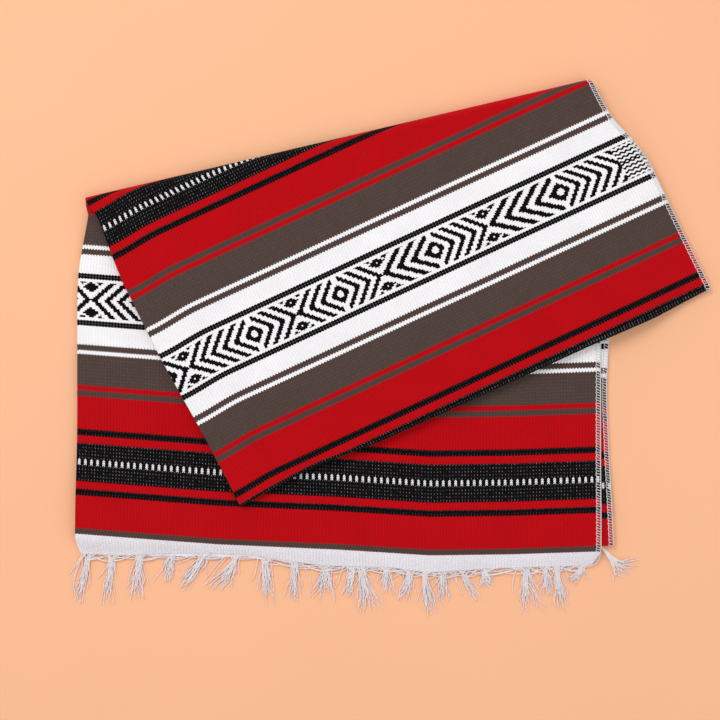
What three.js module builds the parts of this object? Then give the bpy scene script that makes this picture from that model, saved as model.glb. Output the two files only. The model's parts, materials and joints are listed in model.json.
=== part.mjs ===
// A woven, striped table runner with fringed ends, folded double across its width and along its
// length, then turned over on a slanting fold. Millimetres, +Z up, resting on z = 0.
//
// The cloth is one sheet on the real object. Here each stack of plies that stays stiff between two
// folds is its own solid, so the flap can turn on the slanting fold.

import * as THREE from 'three';

// ---- Driving dimensions -------------------------------------------------------------------------

const PLY = 2.0; // thickness of one ply of cloth
const CLEARANCE = 0.3; // air between neighbouring solids
const SIDE_FOLD_BULGE = 9; // how far the side fold swells outward away from the slanting fold
const GATHER = 11; // how much the slanting fold draws the right edge in
const EASE = 120; // distance from the slanting fold over which both of those fade

const FOLD_ANGLE = 13.2; // slant of the top fold against the stripes, degrees
const BASE_LEFT_LENGTH = 437; // top fold to fringed end, along the left edge
const END_DROP = 12; // how much lower the fringed end is at its right corner
const FLAP_LEFT_LENGTH = 422; // top fold to end fold, along the left edge
const FLAP_RIGHT_LENGTH = 291; // the same along the right edge

const STRIP_WIDTH = 638; // side fold to edge, on the narrowest ply
const EDGE_STEP = 4; // how much further out each ply's edge lies than the one above it
const LOWER_SHIFT = 6; // the lower strip's side fold lies this far in

const HEADING = 22; // woven white band at each end
const OVERLOCK = 6.7; // overlocked edge
const LOWER_FOLD_INSET = 24; // the lower strip's end fold, back from the upper strip's end
const TUCK = 30; // what is turned under at the lower strip's end, heading included
const DRAPE = 26; // the upper strip rises from the table within this distance of its end
const RAMP = 80; // both strips come down again over this distance past the tucked end

const TUCKED_FRINGE = { length: 46, thickness: 1.5, inset: 14 };
const BUNDLE = { rootRadius: 3.1, tipRadius: 2.1, flatness: 0.42, hinge: 0.3 };
const CORNER_BUNDLE = { reach: 42, length: 48 };

// Each fringe bundle: place along the end as a share of its width, sideways lean and length.
const BUNDLES = [
  [0.019, -13, 61], [0.064, -6, 61], [0.119, -7, 56], [0.178, -15, 36], [0.240, -29, 45],
  [0.305, -26, 44], [0.362, 5, 56], [0.420, -3, 49], [0.483, -8, 43], [0.531, -6, 38], [0.550, 10, 56],
  [0.599, 1, 33], [0.645, -10, 40], [0.674, 5, 54], [0.709, 1, 37], [0.749, 19, 40], [0.789, 10, 22],
  [0.870, 6, 54], [0.909, 4, 38], [0.930, 2, 55], [0.979, -11, 22],
];

const TURN_STEPS = 8; // facets in a quarter turn of cloth
const SPAN_STEPS = 4; // facets across one ply

// ---- Sizes that follow from them ----------------------------------------------------------------

const UPPER_WIDTHS = { top: STRIP_WIDTH, under: STRIP_WIDTH + EDGE_STEP }; // the strip whose end shows
const LOWER_WIDTHS = { top: STRIP_WIDTH + EDGE_STEP, under: STRIP_WIDTH + 2 * EDGE_STEP };
const STRIP = 2 * PLY + CLEARANCE; // two plies
const LAYER = STRIP + CLEARANCE; // two plies and the air above them
const UPPER_BOTTOM = LAYER; // the lower strip starts at z = 0
const FOLD_HEIGHT = 2 * LAYER - CLEARANCE / 2; // the base and the flap part at this height
const STRIP_PIVOT = LAYER - CLEARANCE / 2; // a strip folded on itself turns round this height
const NOMINAL_WIDTH = STRIP_WIDTH - SIDE_FOLD_BULGE; // right edge of the narrowest ply

const slant = THREE.MathUtils.degToRad(FOLD_ANGLE);
const alongFold = new THREE.Vector2(Math.cos(slant), Math.sin(slant));
const acrossFold = new THREE.Vector2(-Math.sin(slant), Math.cos(slant));
const FOLD_INSET = FOLD_HEIGHT + CLEARANCE / 2; // where the plies start to turn, in from the hinge

const endSlope = -END_DROP / NOMINAL_WIDTH;
const endLine = (offset) => (x) => -BASE_LEFT_LENGTH + endSlope * x + offset;
const foldLine = (inset) => (x) => x * Math.tan(slant) - inset / Math.cos(slant);
const flapRightY = NOMINAL_WIDTH * Math.tan(slant) + FLAP_RIGHT_LENGTH;
const flapSlope = (flapRightY - FLAP_LEFT_LENGTH) / NOMINAL_WIDTH;
const flapEndLine = (inset) => (x) => FLAP_LEFT_LENGTH + flapSlope * x - inset;

const TUCK_TURN = LOWER_FOLD_INSET + STRIP_PIVOT; // where the lower strip starts to turn under
const TUCK_END = TUCK_TURN + TUCK;
const RAMP_END = TUCK_END + RAMP;

// ---- Where a point of the cloth lies ------------------------------------------------------------

const smooth = (t) => THREE.MathUtils.smoothstep(t, 0, 1);

/** Sideways place of a thread that is u from the side fold, at a distance from the slanting fold. */
function widthwise(u, distance) {
  const fade = smooth(Math.abs(distance) / EASE);
  const left = -SIDE_FOLD_BULGE * fade;
  const right = NOMINAL_WIDTH - GATHER * (1 - fade);
  return left + ((right - left) * u) / STRIP_WIDTH;
}

/** The plan point where the thread at u crosses a line given as y of x. */
function onLine(u, line) {
  const distance = -alongFold.x * line(u) + alongFold.y * u;
  const x = widthwise(u, distance);
  return new THREE.Vector2(x, line(x));
}

/** A flat station: the section is lifted, and carried to a line. */
const flatStation = (line, lift = 0) => (u, z) => {
  const p = onLine(u, line);
  return new THREE.Vector3(p.x, p.y, z + lift);
};

/** A station between two lines, at a fraction of the way. */
const between = (from, to, fraction) => (u, z) => {
  const a = onLine(u, from);
  const b = onLine(u, to);
  const y = THREE.MathUtils.lerp(a.y, b.y, fraction);
  return new THREE.Vector3(onLine(u, () => y).x, y, z);
};

/** A station on the slanting fold, turned up by an angle. side is -1 on the base, 1 on the flap. */
const foldStation = (angle, side) => (u, z) => {
  const start = onLine(u, foldLine(-side * FOLD_INSET));
  const radius = FOLD_HEIGHT - z;
  const p = start.addScaledVector(acrossFold, -side * radius * Math.sin(angle));
  p.addScaledVector(alongFold, -side * radius * angle * Math.tan(slant));
  const height = Math.min(FOLD_HEIGHT - radius * Math.cos(angle), FOLD_HEIGHT - CLEARANCE / 2);
  return new THREE.Vector3(p.x, p.y, height);
};

/** A station on a strip's own end fold. up is 1 when it turns upward, -1 when it turns under. */
const endStation = (line, outward, angle, up, lift) => (u, z) => {
  const p = onLine(u, line);
  const radius = up * (STRIP_PIVOT - (z + lift));
  return new THREE.Vector3(
    p.x,
    p.y + outward * radius * Math.sin(angle),
    STRIP_PIVOT - up * radius * Math.cos(angle),
  );
};

/** Turns counted in equal angles, from one angle to another. */
function turns(from, to, steps, station) {
  return Array.from({ length: steps + 1 }, (_, i) => station(THREE.MathUtils.lerp(from, to, i / steps)));
}

// ---- Sections across the strip ------------------------------------------------------------------

/** Two plies joined by the side fold, as matching lists of inner and outer [u, z] points. */
function foldedSection(widths, bottom, shift, trim) {
  const middle = bottom + STRIP / 2;
  const inner = CLEARANCE / 2;
  const outer = inner + PLY;
  const start = shift + outer;
  const rim = (radius) => {
    const points = [];
    for (let i = 0; i < SPAN_STEPS; i++) {
      points.push([THREE.MathUtils.lerp(shift + widths.under - trim, start, i / SPAN_STEPS), middle - radius]);
    }
    for (let i = 0; i <= TURN_STEPS; i++) {
      const angle = Math.PI * (i / TURN_STEPS - 0.5);
      points.push([start - radius * Math.cos(angle), middle + radius * Math.sin(angle)]);
    }
    for (let i = 1; i <= SPAN_STEPS; i++) {
      points.push([THREE.MathUtils.lerp(start, shift + widths.top - trim, i / SPAN_STEPS), middle + radius]);
    }
    return points;
  };
  return { inner: rim(inner), outer: rim(outer) };
}

/** One ply between two distances from the side fold. */
function plySection(from, to, bottom) {
  return {
    inner: [[from, bottom], [to, bottom]],
    outer: [[from, bottom + PLY], [to, bottom + PLY]],
  };
}

/** Sweeps a section through a list of stations, as a box bent to shape. */
function sweep(section, stations) {
  const across = section.inner.length - 1;
  const along = stations.length - 1;
  const geometry = new THREE.BoxGeometry(1, 1, 1, across, along, 1);
  const position = geometry.attributes.position;
  for (let i = 0; i < position.count; i++) {
    const column = Math.round((position.getX(i) + 0.5) * across);
    const row = Math.round((position.getY(i) + 0.5) * along);
    const face = position.getZ(i) > 0 ? section.outer : section.inner;
    const p = stations[row](...face[column]);
    position.setXYZ(i, p.x, p.y, p.z);
  }
  geometry.computeVertexNormals();
  return geometry;
}

// ---- Runs of stations along the cloth -----------------------------------------------------------

const upperLift = (offset) => {
  if (offset <= DRAPE) return THREE.MathUtils.lerp(-UPPER_BOTTOM, LAYER, offset / DRAPE);
  return lowerLift(offset);
};

const lowerLift = (offset) => LAYER * THREE.MathUtils.clamp((RAMP_END - offset) / RAMP, 0, 1);

/** Flat stations between two distances from the fringed end. */
const lengthwise = (offsets, lift) => offsets.map((offset) => flatStation(endLine(offset), lift(offset)));

/** From the end of the ramp to the slanting fold, and round its first quarter. */
const baseTop = () => [
  ...[0.34, 0.67].map((t) => between(endLine(RAMP_END), foldLine(FOLD_INSET), t)),
  ...turns(0, Math.PI / 2, TURN_STEPS, (angle) => foldStation(angle, -1)),
];

const upperBase = (first) => [
  ...lengthwise([first, DRAPE, TUCK_END, RAMP_END].sort((a, b) => a - b), upperLift),
  ...baseTop(),
];

/** The tucked end seen from its far edge: along the table, round the end fold and back on top. */
const tucked = (offset) => (u, z) => {
  const p = onLine(u, endLine(offset));
  return new THREE.Vector3(p.x, p.y, STRIP - z);
};

const lowerBase = (first) => [
  tucked(first),
  ...turns(Math.PI, 0, TURN_STEPS, (angle) => endStation(endLine(TUCK_TURN), -1, angle, -1, LAYER)),
  ...lengthwise([TUCK_END, RAMP_END], lowerLift),
  ...baseTop(),
];

/** The flap is laid out as if it lay open past the fold. */
const flapStart = () => [
  ...turns(Math.PI / 2, 0, TURN_STEPS, (angle) => foldStation(angle, 1)),
  ...[0.34, 0.67].map((t) => between(foldLine(-FOLD_INSET), flapEndLine(STRIP_PIVOT), t)),
];

const innerFlap = () => [...flapStart(), flatStation(flapEndLine(STRIP_PIVOT + CLEARANCE))];

const outerFlap = () => [
  ...flapStart(),
  ...turns(0, Math.PI, TURN_STEPS, (angle) => endStation(flapEndLine(STRIP_PIVOT), 1, angle, 1, 0)),
];

// ---- Materials ----------------------------------------------------------------------------------

const clothMaterial = () => new THREE.MeshStandardMaterial({ color: 0xb40f1c, roughness: 0.92, metalness: 0 });
const headingMaterial = () => new THREE.MeshStandardMaterial({ color: 0xeceaf6, roughness: 0.9, metalness: 0 });
const threadMaterial = () => new THREE.MeshStandardMaterial({ color: 0xd8c8d2, roughness: 0.85, metalness: 0 });
const yarnMaterial = () => new THREE.MeshStandardMaterial({ color: 0xe6dde2, roughness: 0.95, metalness: 0 });

function named(name, geometry, material) {
  const mesh = new THREE.Mesh(geometry, material);
  mesh.name = name;
  return mesh;
}

// ---- Sub-parts ----------------------------------------------------------------------------------

/** The overlocked edges of a strip's two plies. */
function overlockedEdges(name, widths, bottom, shift, stations) {
  const edge = (width, z) => plySection(shift + width - OVERLOCK, shift + width, z);
  return [
    named(`${name}_top_edge`, sweep(edge(widths.top, bottom + PLY + CLEARANCE), stations), threadMaterial()),
    named(`${name}_under_edge`, sweep(edge(widths.under, bottom), stations), threadMaterial()),
  ];
}

const TRIM = OVERLOCK + CLEARANCE;
const upperSection = foldedSection(UPPER_WIDTHS, UPPER_BOTTOM, 0, TRIM);
const lowerSection = foldedSection(LOWER_WIDTHS, 0, LOWER_SHIFT, TRIM);

function upperLayer() {
  const heading = lengthwise([0, HEADING - CLEARANCE], upperLift);
  return [
    named('upper_layer_cloth', sweep(upperSection, upperBase(HEADING)), clothMaterial()),
    named('upper_layer_heading', sweep(upperSection, heading), headingMaterial()),
    ...overlockedEdges('upper_layer_overlock', UPPER_WIDTHS, UPPER_BOTTOM, 0, upperBase(0)),
  ];
}

function lowerLayer() {
  const heading = [tucked(TUCK_END), tucked(TUCK_END - HEADING + CLEARANCE)];
  return [
    named('lower_layer_cloth', sweep(lowerSection, lowerBase(TUCK_END - HEADING)), clothMaterial()),
    named('lower_layer_heading', sweep(lowerSection, heading), headingMaterial()),
    ...overlockedEdges('lower_layer_overlock', LOWER_WIDTHS, 0, LOWER_SHIFT, lowerBase(TUCK_END)),
  ];
}

/** The far end's fringe, pressed flat under the cloth. */
function tuckedFringe() {
  const { length, thickness, inset } = TUCKED_FRINGE;
  const from = LOWER_SHIFT + inset;
  const to = LOWER_WIDTHS.under - inset;
  const section = { inner: [[from, 0], [to, 0]], outer: [[from, thickness], [to, thickness]] };
  const offsets = [TUCK_END + CLEARANCE, TUCK_END + CLEARANCE + length];
  return named('lower_layer_fringe', sweep(section, lengthwise(offsets, () => 0)), yarnMaterial());
}

/** A loose bundle of yarns lying on the table, from its root, with a sideways lean. */
function bundle(name, root, lean, length) {
  const { rootRadius, tipRadius, flatness } = BUNDLE;
  const geometry = new THREE.CylinderGeometry(rootRadius, tipRadius, length, 8, 5);
  geometry.scale(1, 1, flatness);
  geometry.translate(0, -length / 2, rootRadius * flatness + CLEARANCE / 2);
  const position = geometry.attributes.position;
  for (let i = 0; i < position.count; i++) {
    const t = -position.getY(i) / length;
    position.setX(i, position.getX(i) + lean * smooth(t));
  }
  geometry.translate(root.x, root.y, 0);
  geometry.computeVertexNormals();
  return named(name, geometry, yarnMaterial());
}

function fringe() {
  const left = onLine(0, endLine(0));
  return BUNDLES.map(([place, lean, length], i) => {
    const x = left.x + place * NOMINAL_WIDTH;
    const root = new THREE.Vector2(x, endLine(-BUNDLE.hinge - CLEARANCE)(x));
    return bundle(`fringe_bundle_${String(i + 1).padStart(2, '0')}`, root, lean, length);
  });
}

/** Yarns of the tucked end that stray out at its right corner. */
function cornerBundle() {
  const { reach, length } = CORNER_BUNDLE;
  const root = onLine(LOWER_SHIFT + LOWER_WIDTHS.top, endLine(LOWER_FOLD_INSET - CLEARANCE));
  return bundle('corner_fringe_bundle', root, reach, length);
}

function flapLayers() {
  const inner = overlockedEdges('flap_inner_overlock', UPPER_WIDTHS, UPPER_BOTTOM, 0, innerFlap());
  const outer = overlockedEdges('flap_outer_overlock', LOWER_WIDTHS, 0, LOWER_SHIFT, outerFlap());
  return [
    named('flap_inner_cloth', sweep(upperSection, innerFlap()), clothMaterial()),
    named('flap_outer_cloth', sweep(lowerSection, outerFlap()), clothMaterial()),
    ...inner,
    ...outer,
  ];
}

// ---- Assembly -----------------------------------------------------------------------------------

/** The flap turned over about the slanting fold, resting on the raised end of the base. */
function foldedFlap() {
  const farCorner = onLine(0, flapEndLine(0));
  const reach = Math.abs(farCorner.dot(acrossFold));
  const rise = Math.atan(LAYER / reach);
  const open = new THREE.Group();
  open.position.z = -FOLD_HEIGHT;
  open.add(...flapLayers());
  const folded = new THREE.Group();
  folded.position.z = FOLD_HEIGHT;
  folded.quaternion.setFromAxisAngle(new THREE.Vector3(alongFold.x, alongFold.y, 0), Math.PI - rise);
  folded.add(open);
  return folded;
}

const runner = new THREE.Group();
runner.add(...upperLayer(), ...lowerLayer(), tuckedFringe(), cornerBundle(), ...fringe(), foldedFlap());
runner.updateMatrixWorld(true);

const extent = new THREE.Box3().setFromObject(runner, true);
const centre = extent.getCenter(new THREE.Vector3());
runner.position.set(-centre.x, -centre.y, -extent.min.z);

export default runner;
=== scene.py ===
"""A striped, woven runner with fringed ends, folded double twice and turned over on a slanting fold.

The cloth is made as two folded strips that run from the fringed end, round the slanting fold, to
the end fold of the flap and back. Lengths in the layout are millimetres, and meshes are metres.
"""

import json
import logging
import math
import random
from dataclasses import dataclass, field
from enum import Enum
from typing import Callable, Sequence

import bmesh
import bpy
import numpy as np
from mathutils import Matrix, Vector


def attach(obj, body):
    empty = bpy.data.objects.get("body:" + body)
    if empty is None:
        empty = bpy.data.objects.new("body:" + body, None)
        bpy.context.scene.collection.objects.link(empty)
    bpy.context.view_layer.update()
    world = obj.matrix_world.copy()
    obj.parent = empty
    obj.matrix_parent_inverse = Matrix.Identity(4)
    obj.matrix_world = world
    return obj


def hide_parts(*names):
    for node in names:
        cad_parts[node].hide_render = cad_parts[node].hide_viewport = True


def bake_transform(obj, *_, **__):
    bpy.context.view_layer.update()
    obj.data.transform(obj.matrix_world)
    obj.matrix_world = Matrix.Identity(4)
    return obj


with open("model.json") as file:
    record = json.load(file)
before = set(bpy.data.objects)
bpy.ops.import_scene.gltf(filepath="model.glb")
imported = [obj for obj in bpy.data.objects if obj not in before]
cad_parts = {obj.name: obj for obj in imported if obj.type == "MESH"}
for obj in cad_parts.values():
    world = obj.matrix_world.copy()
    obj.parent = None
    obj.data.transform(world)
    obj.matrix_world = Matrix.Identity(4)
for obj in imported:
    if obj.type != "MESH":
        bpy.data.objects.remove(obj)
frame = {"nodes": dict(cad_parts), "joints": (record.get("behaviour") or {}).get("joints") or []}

LOG = logging.getLogger("runner")
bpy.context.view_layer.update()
MM = 0.001
Array = np.ndarray
Line = Callable[[Array], Array]
Pair = tuple[Array, Array]
Colour = tuple[float, float, float, float]


class Body(str, Enum):
    """The bodies that the pieces ride on."""

    BASE = "base"
    FLAP = "flap"
    FRINGE = "fringe"


class Slot(str, Enum):
    """The finishes that the record names."""

    CLOTH = "striped_cloth"
    HEADING = "white_heading"
    THREAD = "overlock_thread"
    YARN = "fringe_yarn"


class Ply(Enum):
    """The two plies of a folded strip."""

    UNDER = -1
    TOP = 1


def paint(red: int, green: int, blue: int) -> Colour:
    """Turn a display colour into a linear one.

    Args:
        red: Red, 0 to 255.
        green: Green, 0 to 255.
        blue: Blue, 0 to 255.

    Returns:
        The linear colour with full alpha.
    """
    def linear(value: int) -> float:
        """Undo the display curve for one channel."""
        share = value / 255
        return share / 12.92 if share <= 0.04045 else ((share + 0.055) / 1.055) ** 2.4

    return linear(red), linear(green), linear(blue), 1.0


def smooth(value: Array) -> Array:
    """Ease from 0 to 1 with level ends."""
    share = np.clip(value, 0.0, 1.0)
    return share * share * (3 - 2 * share)


# ---- Layout of the folded cloth -----------------------------------------------------------------


@dataclass(frozen=True)
class Layout:
    """Sizes of the folded cloth, in millimetres, and where a thread of it lies."""

    ply: float = 2.0
    clearance: float = 0.3
    side_bulge: float = 9.0
    gather: float = 25.0
    flap_narrowing: float = 7.0
    ease: float = 120.0
    fold_degrees: float = 13.2
    left_length: float = 437.0
    end_drop: float = 12.0
    flap_left: float = 422.0
    flap_right: float = 291.0
    width: float = 638.0
    under_step: float = 1.0
    lower_step: float = 6.0
    lower_shift: float = 6.0
    fold_draw: float = 6.0
    upper_inset: float = 8.0
    base_spread: float = 2.0
    flap_taper: float = 7.5
    upper_taper: float = 4.0
    heading: float = 22.0
    heading_left: float = -409.5
    lower_inset: float = 24.0
    tuck: float = 30.0
    drape: float = 26.0
    ramp: float = 80.0
    cloth_length: float = 1808.0

    @property
    def strip(self) -> float:
        """Height of two plies."""
        return 2 * self.ply + self.clearance

    @property
    def layer(self) -> float:
        """Height of two plies and the air above them."""
        return self.strip + self.clearance

    @property
    def fold_height(self) -> float:
        """Height of the line that the flap turns about."""
        return 2 * self.layer - self.clearance / 2

    @property
    def pivot(self) -> float:
        """Height that a strip turns about when it is folded on itself."""
        return self.layer - self.clearance / 2

    @property
    def inset(self) -> float:
        """Distance from the slanting fold's outer edge to where the plies start to turn."""
        return self.fold_height + self.clearance / 2

    @property
    def right(self) -> float:
        """Right edge of the narrowest ply."""
        return self.width - self.side_bulge

    @property
    def slant(self) -> float:
        """Slant of the fold, in radians."""
        return math.radians(self.fold_degrees)

    @property
    def along(self) -> Array:
        """Unit direction along the slanting fold."""
        return np.array([math.cos(self.slant), math.sin(self.slant)])

    @property
    def across(self) -> Array:
        """Unit direction across the slanting fold, away from the base."""
        return np.array([-math.sin(self.slant), math.cos(self.slant)])

    @property
    def tuck_turn(self) -> float:
        """Distance from the fringed end to where the lower strip starts to turn under."""
        return self.lower_inset + self.pivot

    @property
    def tuck_end(self) -> float:
        """Distance from the fringed end to the far end of what is turned under."""
        return self.tuck_turn + self.tuck

    def plain_end(self, x: Array) -> Array:
        """The straight line under the fringed end."""
        return -self.left_length - self.end_drop / self.right * x

    def heading_top(self, x: Array) -> Array:
        """The line where the heading meets the stripes, which sags towards the middle."""
        places = [-10, 165, 307, 422, 522, 625]
        return self.heading_left - np.interp(x, places, [0, 13.4, 19.5, 26.9, 25.6, 22.0])

    def end_edge(self, x: Array) -> Array:
        """The fringed end itself: the heading's height changes as it curls."""
        places = [-10, 38, 92, 141, 196, 217, 294, 373, 416, 435, 508, 581, 618]
        heights = [24.4, 23.2, 17.1, 12.2, 11.0, 13.4, 20.8, 17.7, 20.8, 20.1, 16.6, 16.6, 17.5]
        return self.heading_top(x) - np.interp(x, places, heights)

    def fold_line(self, inset: float) -> Line:
        """The slanting fold, moved in by a distance."""
        return lambda x: x * math.tan(self.slant) - inset / math.cos(self.slant)

    def flap_line(self, x: Array) -> Array:
        """The straight line under the flap's end fold, while the flap is laid open."""
        right = self.right * math.tan(self.slant) + self.flap_right
        slope = (right - self.flap_left) / self.right
        return self.flap_left + slope * x

    def flap_end(self, inset: float) -> Line:
        """The flap's end fold, while the flap is laid open, moved in by a distance."""
        return lambda x: self.flap_line(x) - inset + self.flap_wander(x)

    def flap_wander(self, x: Array) -> Array:
        """How far the flap's end fold strays from a straight line."""
        places = [0, 60, 110, 190, 300, 470, 560, 640]
        return np.interp(x, places, [0, -4, -6.5, -0.5, 0.5, 1.5, 4.0, 0])

    def widthwise(self, u: Array, distance: Array, is_upper: bool) -> Array:
        """Sideways place of a thread.

        Args:
            u: Distance of the thread from the side fold.
            distance: Distance from the slanting fold, below 0 on the flap.
            is_upper: Whether the thread is in the upper strip.

        Returns:
            The sideways place of each thread.
        """
        fade = smooth(np.abs(distance) / self.ease)
        on_flap = smooth(-distance / 60)
        narrowing = smooth((-distance - 180) / 200)
        left = -self.side_bulge * fade - self.base_spread * smooth((distance - 250) / 150)
        if is_upper:
            left = left + self.fold_draw * (1 - smooth(np.abs(distance) / 90))
            left = left + self.upper_inset * on_flap + self.upper_taper * narrowing
        else:
            left = left - self.fold_draw * (1 - smooth(np.abs(distance) / 30))
            left = left + self.flap_taper * narrowing
        right = self.right - self.gather * (1 - fade) - self.flap_narrowing * on_flap
        return left + (right - left) * u / self.width

    def on_line(self, u: Array, line: Line, is_upper: bool) -> Array:
        """Plan points where threads cross a line.

        Args:
            u: Distances of the threads from the side fold.
            line: The line, as y of x.
            is_upper: Whether the threads are in the upper strip.

        Returns:
            One row of x and y for each thread.
        """
        distance = -self.along[0] * line(u) + self.along[1] * u
        x = self.widthwise(u, distance, is_upper)
        return np.stack([x, line(x)], axis=1)


LAYOUT = Layout()


def joint_place(name: str) -> Vector:
    """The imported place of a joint, in metres."""
    return Vector(next(joint["pos_m"] for joint in frame["joints"] if joint["name"] == name))


FOLD_CORNER = joint_place("flap_fold")


def to_frame(points: Array) -> Array:
    """Carry layout points, in millimetres, to the shared frame, in metres."""
    return points * MM + np.array([FOLD_CORNER.x, FOLD_CORNER.y, 0.0])


# ---- Sections and stations ----------------------------------------------------------------------


@dataclass(frozen=True)
class Section:
    """Two plies joined by the side fold, as matching inner and outer points across the strip."""

    top_width: float
    under_width: float
    bottom: float
    shift: float
    spacing: float = 10.0
    turn_steps: int = 8

    def columns(self, width: float) -> list[float]:
        """Places across one ply, from next to the side fold out to its edge."""
        start = LAYOUT.clearance / 2 + LAYOUT.ply
        inner = width - 9.0
        count = max(2, round((inner - start) / self.spacing))
        places = [start + (inner - start) * i / count for i in range(1, count + 1)]
        return places + [width - 5.0, width - 2.0, width - 0.5, width]

    def points(self) -> Pair:
        """Every point across the section.

        Returns:
            The inner and the outer face, each with rows of u, z and cloth width.
        """
        middle = self.bottom + LAYOUT.strip / 2
        inner = LAYOUT.clearance / 2
        outer = inner + LAYOUT.ply
        faces = []
        for radius, sign in ((inner, -1.0), (outer, 1.0)):
            rows = []
            for place in reversed(self.columns(self.under_width)):
                drawn = self.rounding(self.under_width - place) * sign
                rows.append((self.shift + place, middle - radius + drawn, -place))
            for i in range(self.turn_steps + 1):
                angle = math.pi * (i / self.turn_steps - 0.5)
                u = self.shift + outer - radius * math.cos(angle)
                rows.append((u, middle + radius * math.sin(angle), outer * angle / (math.pi / 2)))
            for place in self.columns(self.top_width):
                drawn = self.rounding(self.top_width - place) * sign
                rows.append((self.shift + place, middle + radius - drawn, place))
            faces.append(np.array(rows))
        return faces[0], faces[1]

    @staticmethod
    def rounding(distance: float) -> float:
        """How much a ply's faces close in near its overlocked edge."""
        return 0.55 * max(0.0, 1 - distance / 2.0) ** 2


class Zone(Enum):
    """The stretches that a strip is cut into; the base, flap and heading stretches each follow a body,
    the fold's stretch none.
    """

    HEADING = "heading"
    BASE = "base"
    FOLD = "fold"
    FLAP = "flap"


@dataclass
class Station:
    """One row of the sweep: a function from section points to places, and where it belongs."""

    place: Callable[[Array, Array, Array], Pair]
    zone: Zone


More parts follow.
